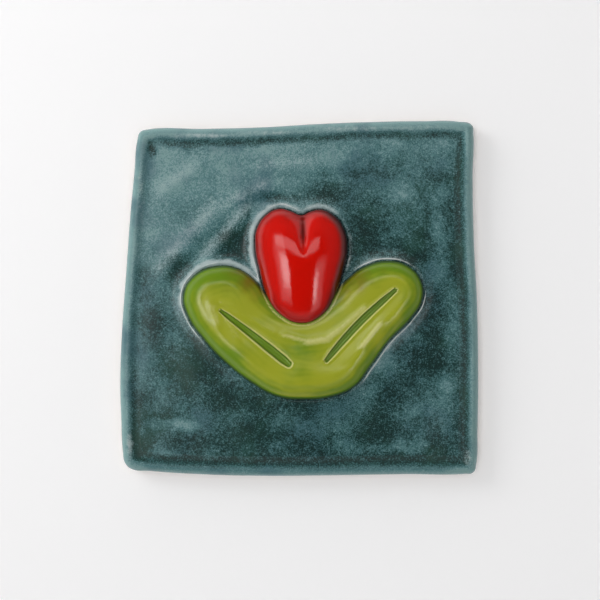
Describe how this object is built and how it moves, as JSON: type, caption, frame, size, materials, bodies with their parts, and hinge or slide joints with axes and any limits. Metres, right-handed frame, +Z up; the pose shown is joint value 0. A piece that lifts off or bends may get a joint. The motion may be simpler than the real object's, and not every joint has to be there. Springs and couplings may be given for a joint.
{
  "type": "decorative tile",
  "caption": "Square hand-pressed ceramic tile with a raised rim and a tulip in relief, a bloom on a pair of grooved leaves, over a sunk speckled ground and a flat back.",
  "frame": {"origin": "centre of the underside's bounding box, on the surface that the tile lies on", "axes": "+Z up through the tile's thickness towards the glazed face, +Y towards the top of the flower, +X to its right seen from above"},
  "size_m": [0.15, 0.1488, 0.0168],
  "materials": {
    "fired_glaze": "glazed stoneware: satin, speckled dark teal on the ground and rim, glossy red on the bloom, glossy yellow-green on the leaves, bare buff clay on the back and the lower edge"
  },
  "bodies": {
    "root": {"relief_tile": "fired_glaze"}
  },
  "joints": []
}
